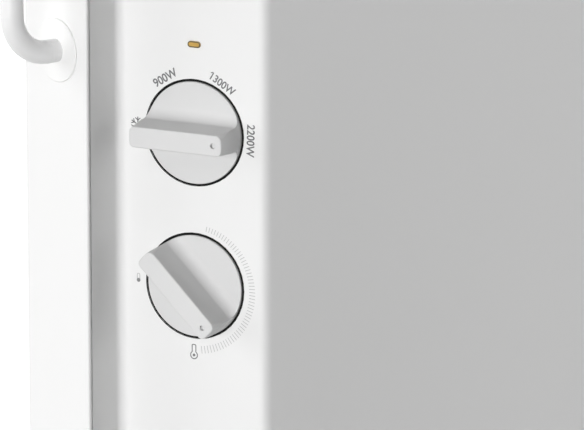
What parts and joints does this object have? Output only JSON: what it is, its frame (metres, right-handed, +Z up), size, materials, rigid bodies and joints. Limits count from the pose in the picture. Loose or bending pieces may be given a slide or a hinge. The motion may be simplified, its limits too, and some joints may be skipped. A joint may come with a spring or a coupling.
{
  "type": "convector heater",
  "caption": "Free-standing electric convector heater with a plain front, rotary power and thermostat knobs on one end, a top outlet grille and a tubular carrying rail.",
  "frame": {"origin": "centre of the bounding box on the floor under the pads", "axes": "+X along the heater away from the control end, +Y toward the back, +Z up"},
  "size_m": [0.7162, 0.22, 0.502],
  "materials": {
    "casing_paint": "white, fine satin powder coat",
    "grille_plastic": "white, fine grain",
    "zinc_steel": "zinc-coated sheet",
    "shield_sheet": "bright rolled sheet",
    "fin_alloy": "extruded, matt",
    "rod_steel": "heat-toned sheath",
    "white_ceramic": "unglazed",
    "dark_moulding": "heat-resistant moulding",
    "light_moulding": "natural moulding",
    "contact_brass": "plain",
    "amber_lens": "clear amber, glossy",
    "lamp_glass": "clear",
    "rail_paint": "white, satin",
    "plate_plastic": "white, satin",
    "screw_steel": "zinc-plated",
    "shaft_steel": "turned",
    "foot_plastic": "grey, fine grain",
    "pad_rubber": "matt",
    "wire_brown": "silicone sleeving",
    "wire_blue": "silicone sleeving",
    "wire_green": "silicone sleeving",
    "knob_plastic": "white, satin"
  },
  "bodies": {
    "casing": {"front_shell": "casing_paint", "rear_cover": "casing_paint", "top_grille": "grille_plastic", "base_pan": "casing_paint", "partition_left": "zinc_steel", "partition_right": "zinc_steel", "front_shield": "shield_sheet", "rear_shield": "shield_sheet", "fins_900w": "fin_alloy", "fins_1300w": "fin_alloy", "rod_900w": "rod_steel", "rod_1300w": "rod_steel", "rod_bushes": "white_ceramic", "thermal_cutout": "dark_moulding", "terminal_block": "white_ceramic", "terminal_screws": "contact_brass", "cord_gland": "dark_moulding", "wiring_live": "wire_brown", "wiring_neutral": "wire_blue", "wiring_earth": "wire_green", "earth_screw": "contact_brass", "wire_grommets": "pad_rubber", "control_plate": "zinc_steel", "control_screws": "screw_steel", "selector_housing": "dark_moulding", "selector_lid": "light_moulding", "selector_contacts": "contact_brass", "thermostat_base": "white_ceramic", "thermostat_bimetal": "contact_brass", "lamp_lens": "amber_lens", "lamp_holder": "light_moulding", "neon_lamp": "lamp_glass", "rail": "rail_paint", "rail_plate_left": "plate_plastic", "rail_plate_right": "plate_plastic", "rail_nuts": "screw_steel", "foot_left": "foot_plastic", "foot_right": "foot_plastic", "foot_pads": "pad_rubber", "foot_screws": "screw_steel", "casing_screws": "screw_steel"},
    "power_control": {"power_knob": "knob_plastic", "power_shaft": "shaft_steel"},
    "thermostat_control": {"thermostat_knob": "knob_plastic", "thermostat_shaft": "shaft_steel"}
  },
  "joints": [
    {"name": "power_turn", "type": "hinge", "parent": "casing", "child": "power_control", "pos_m": [-0.3116, -0.0208, 0.351], "axis": [-1, 0, 0], "range_deg": [0, 180]},
    {"name": "thermostat_turn", "type": "hinge", "parent": "casing", "child": "thermostat_control", "pos_m": [-0.3116, -0.0208, 0.2845], "axis": [-1, 0, 0], "range_deg": [-45, 225]}
  ]
}
